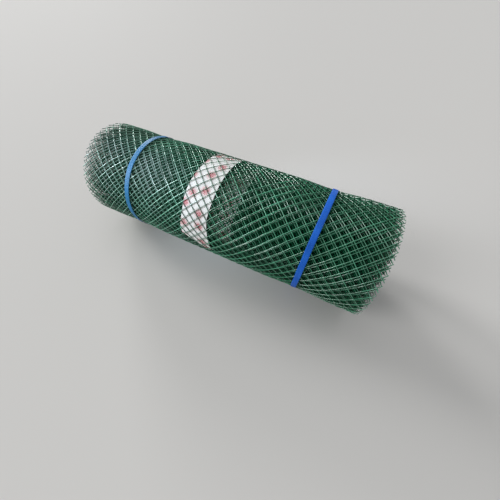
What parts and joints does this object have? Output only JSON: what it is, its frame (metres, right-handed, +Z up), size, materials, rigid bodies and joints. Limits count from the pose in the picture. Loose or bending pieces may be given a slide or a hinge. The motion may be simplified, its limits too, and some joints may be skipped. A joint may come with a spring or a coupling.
{
  "type": "roll of plastic netting",
  "caption": "Roll of green diamond-mesh plastic netting lying on its side, tied with flat blue straps, with printed paper sheets between its outer turns.",
  "frame": {"origin": "the point on the supporting plane under the middle of the roll", "axes": "+X along the roll's axis, +Y towards the back of the roll as seen in the picture, +Z up"},
  "size_m": [0.915, 0.3111, 0.3112],
  "materials": {
    "net": "glossy extruded polyethylene",
    "strap": "embossed polypropylene",
    "label": "printed paper"
  },
  "bodies": {
    "root": {"net_roll": "net", "label_sheet": "label", "inner_sheet": "label", "strap_left": "strap", "strap_right": "strap"}
  },
  "joints": []
}
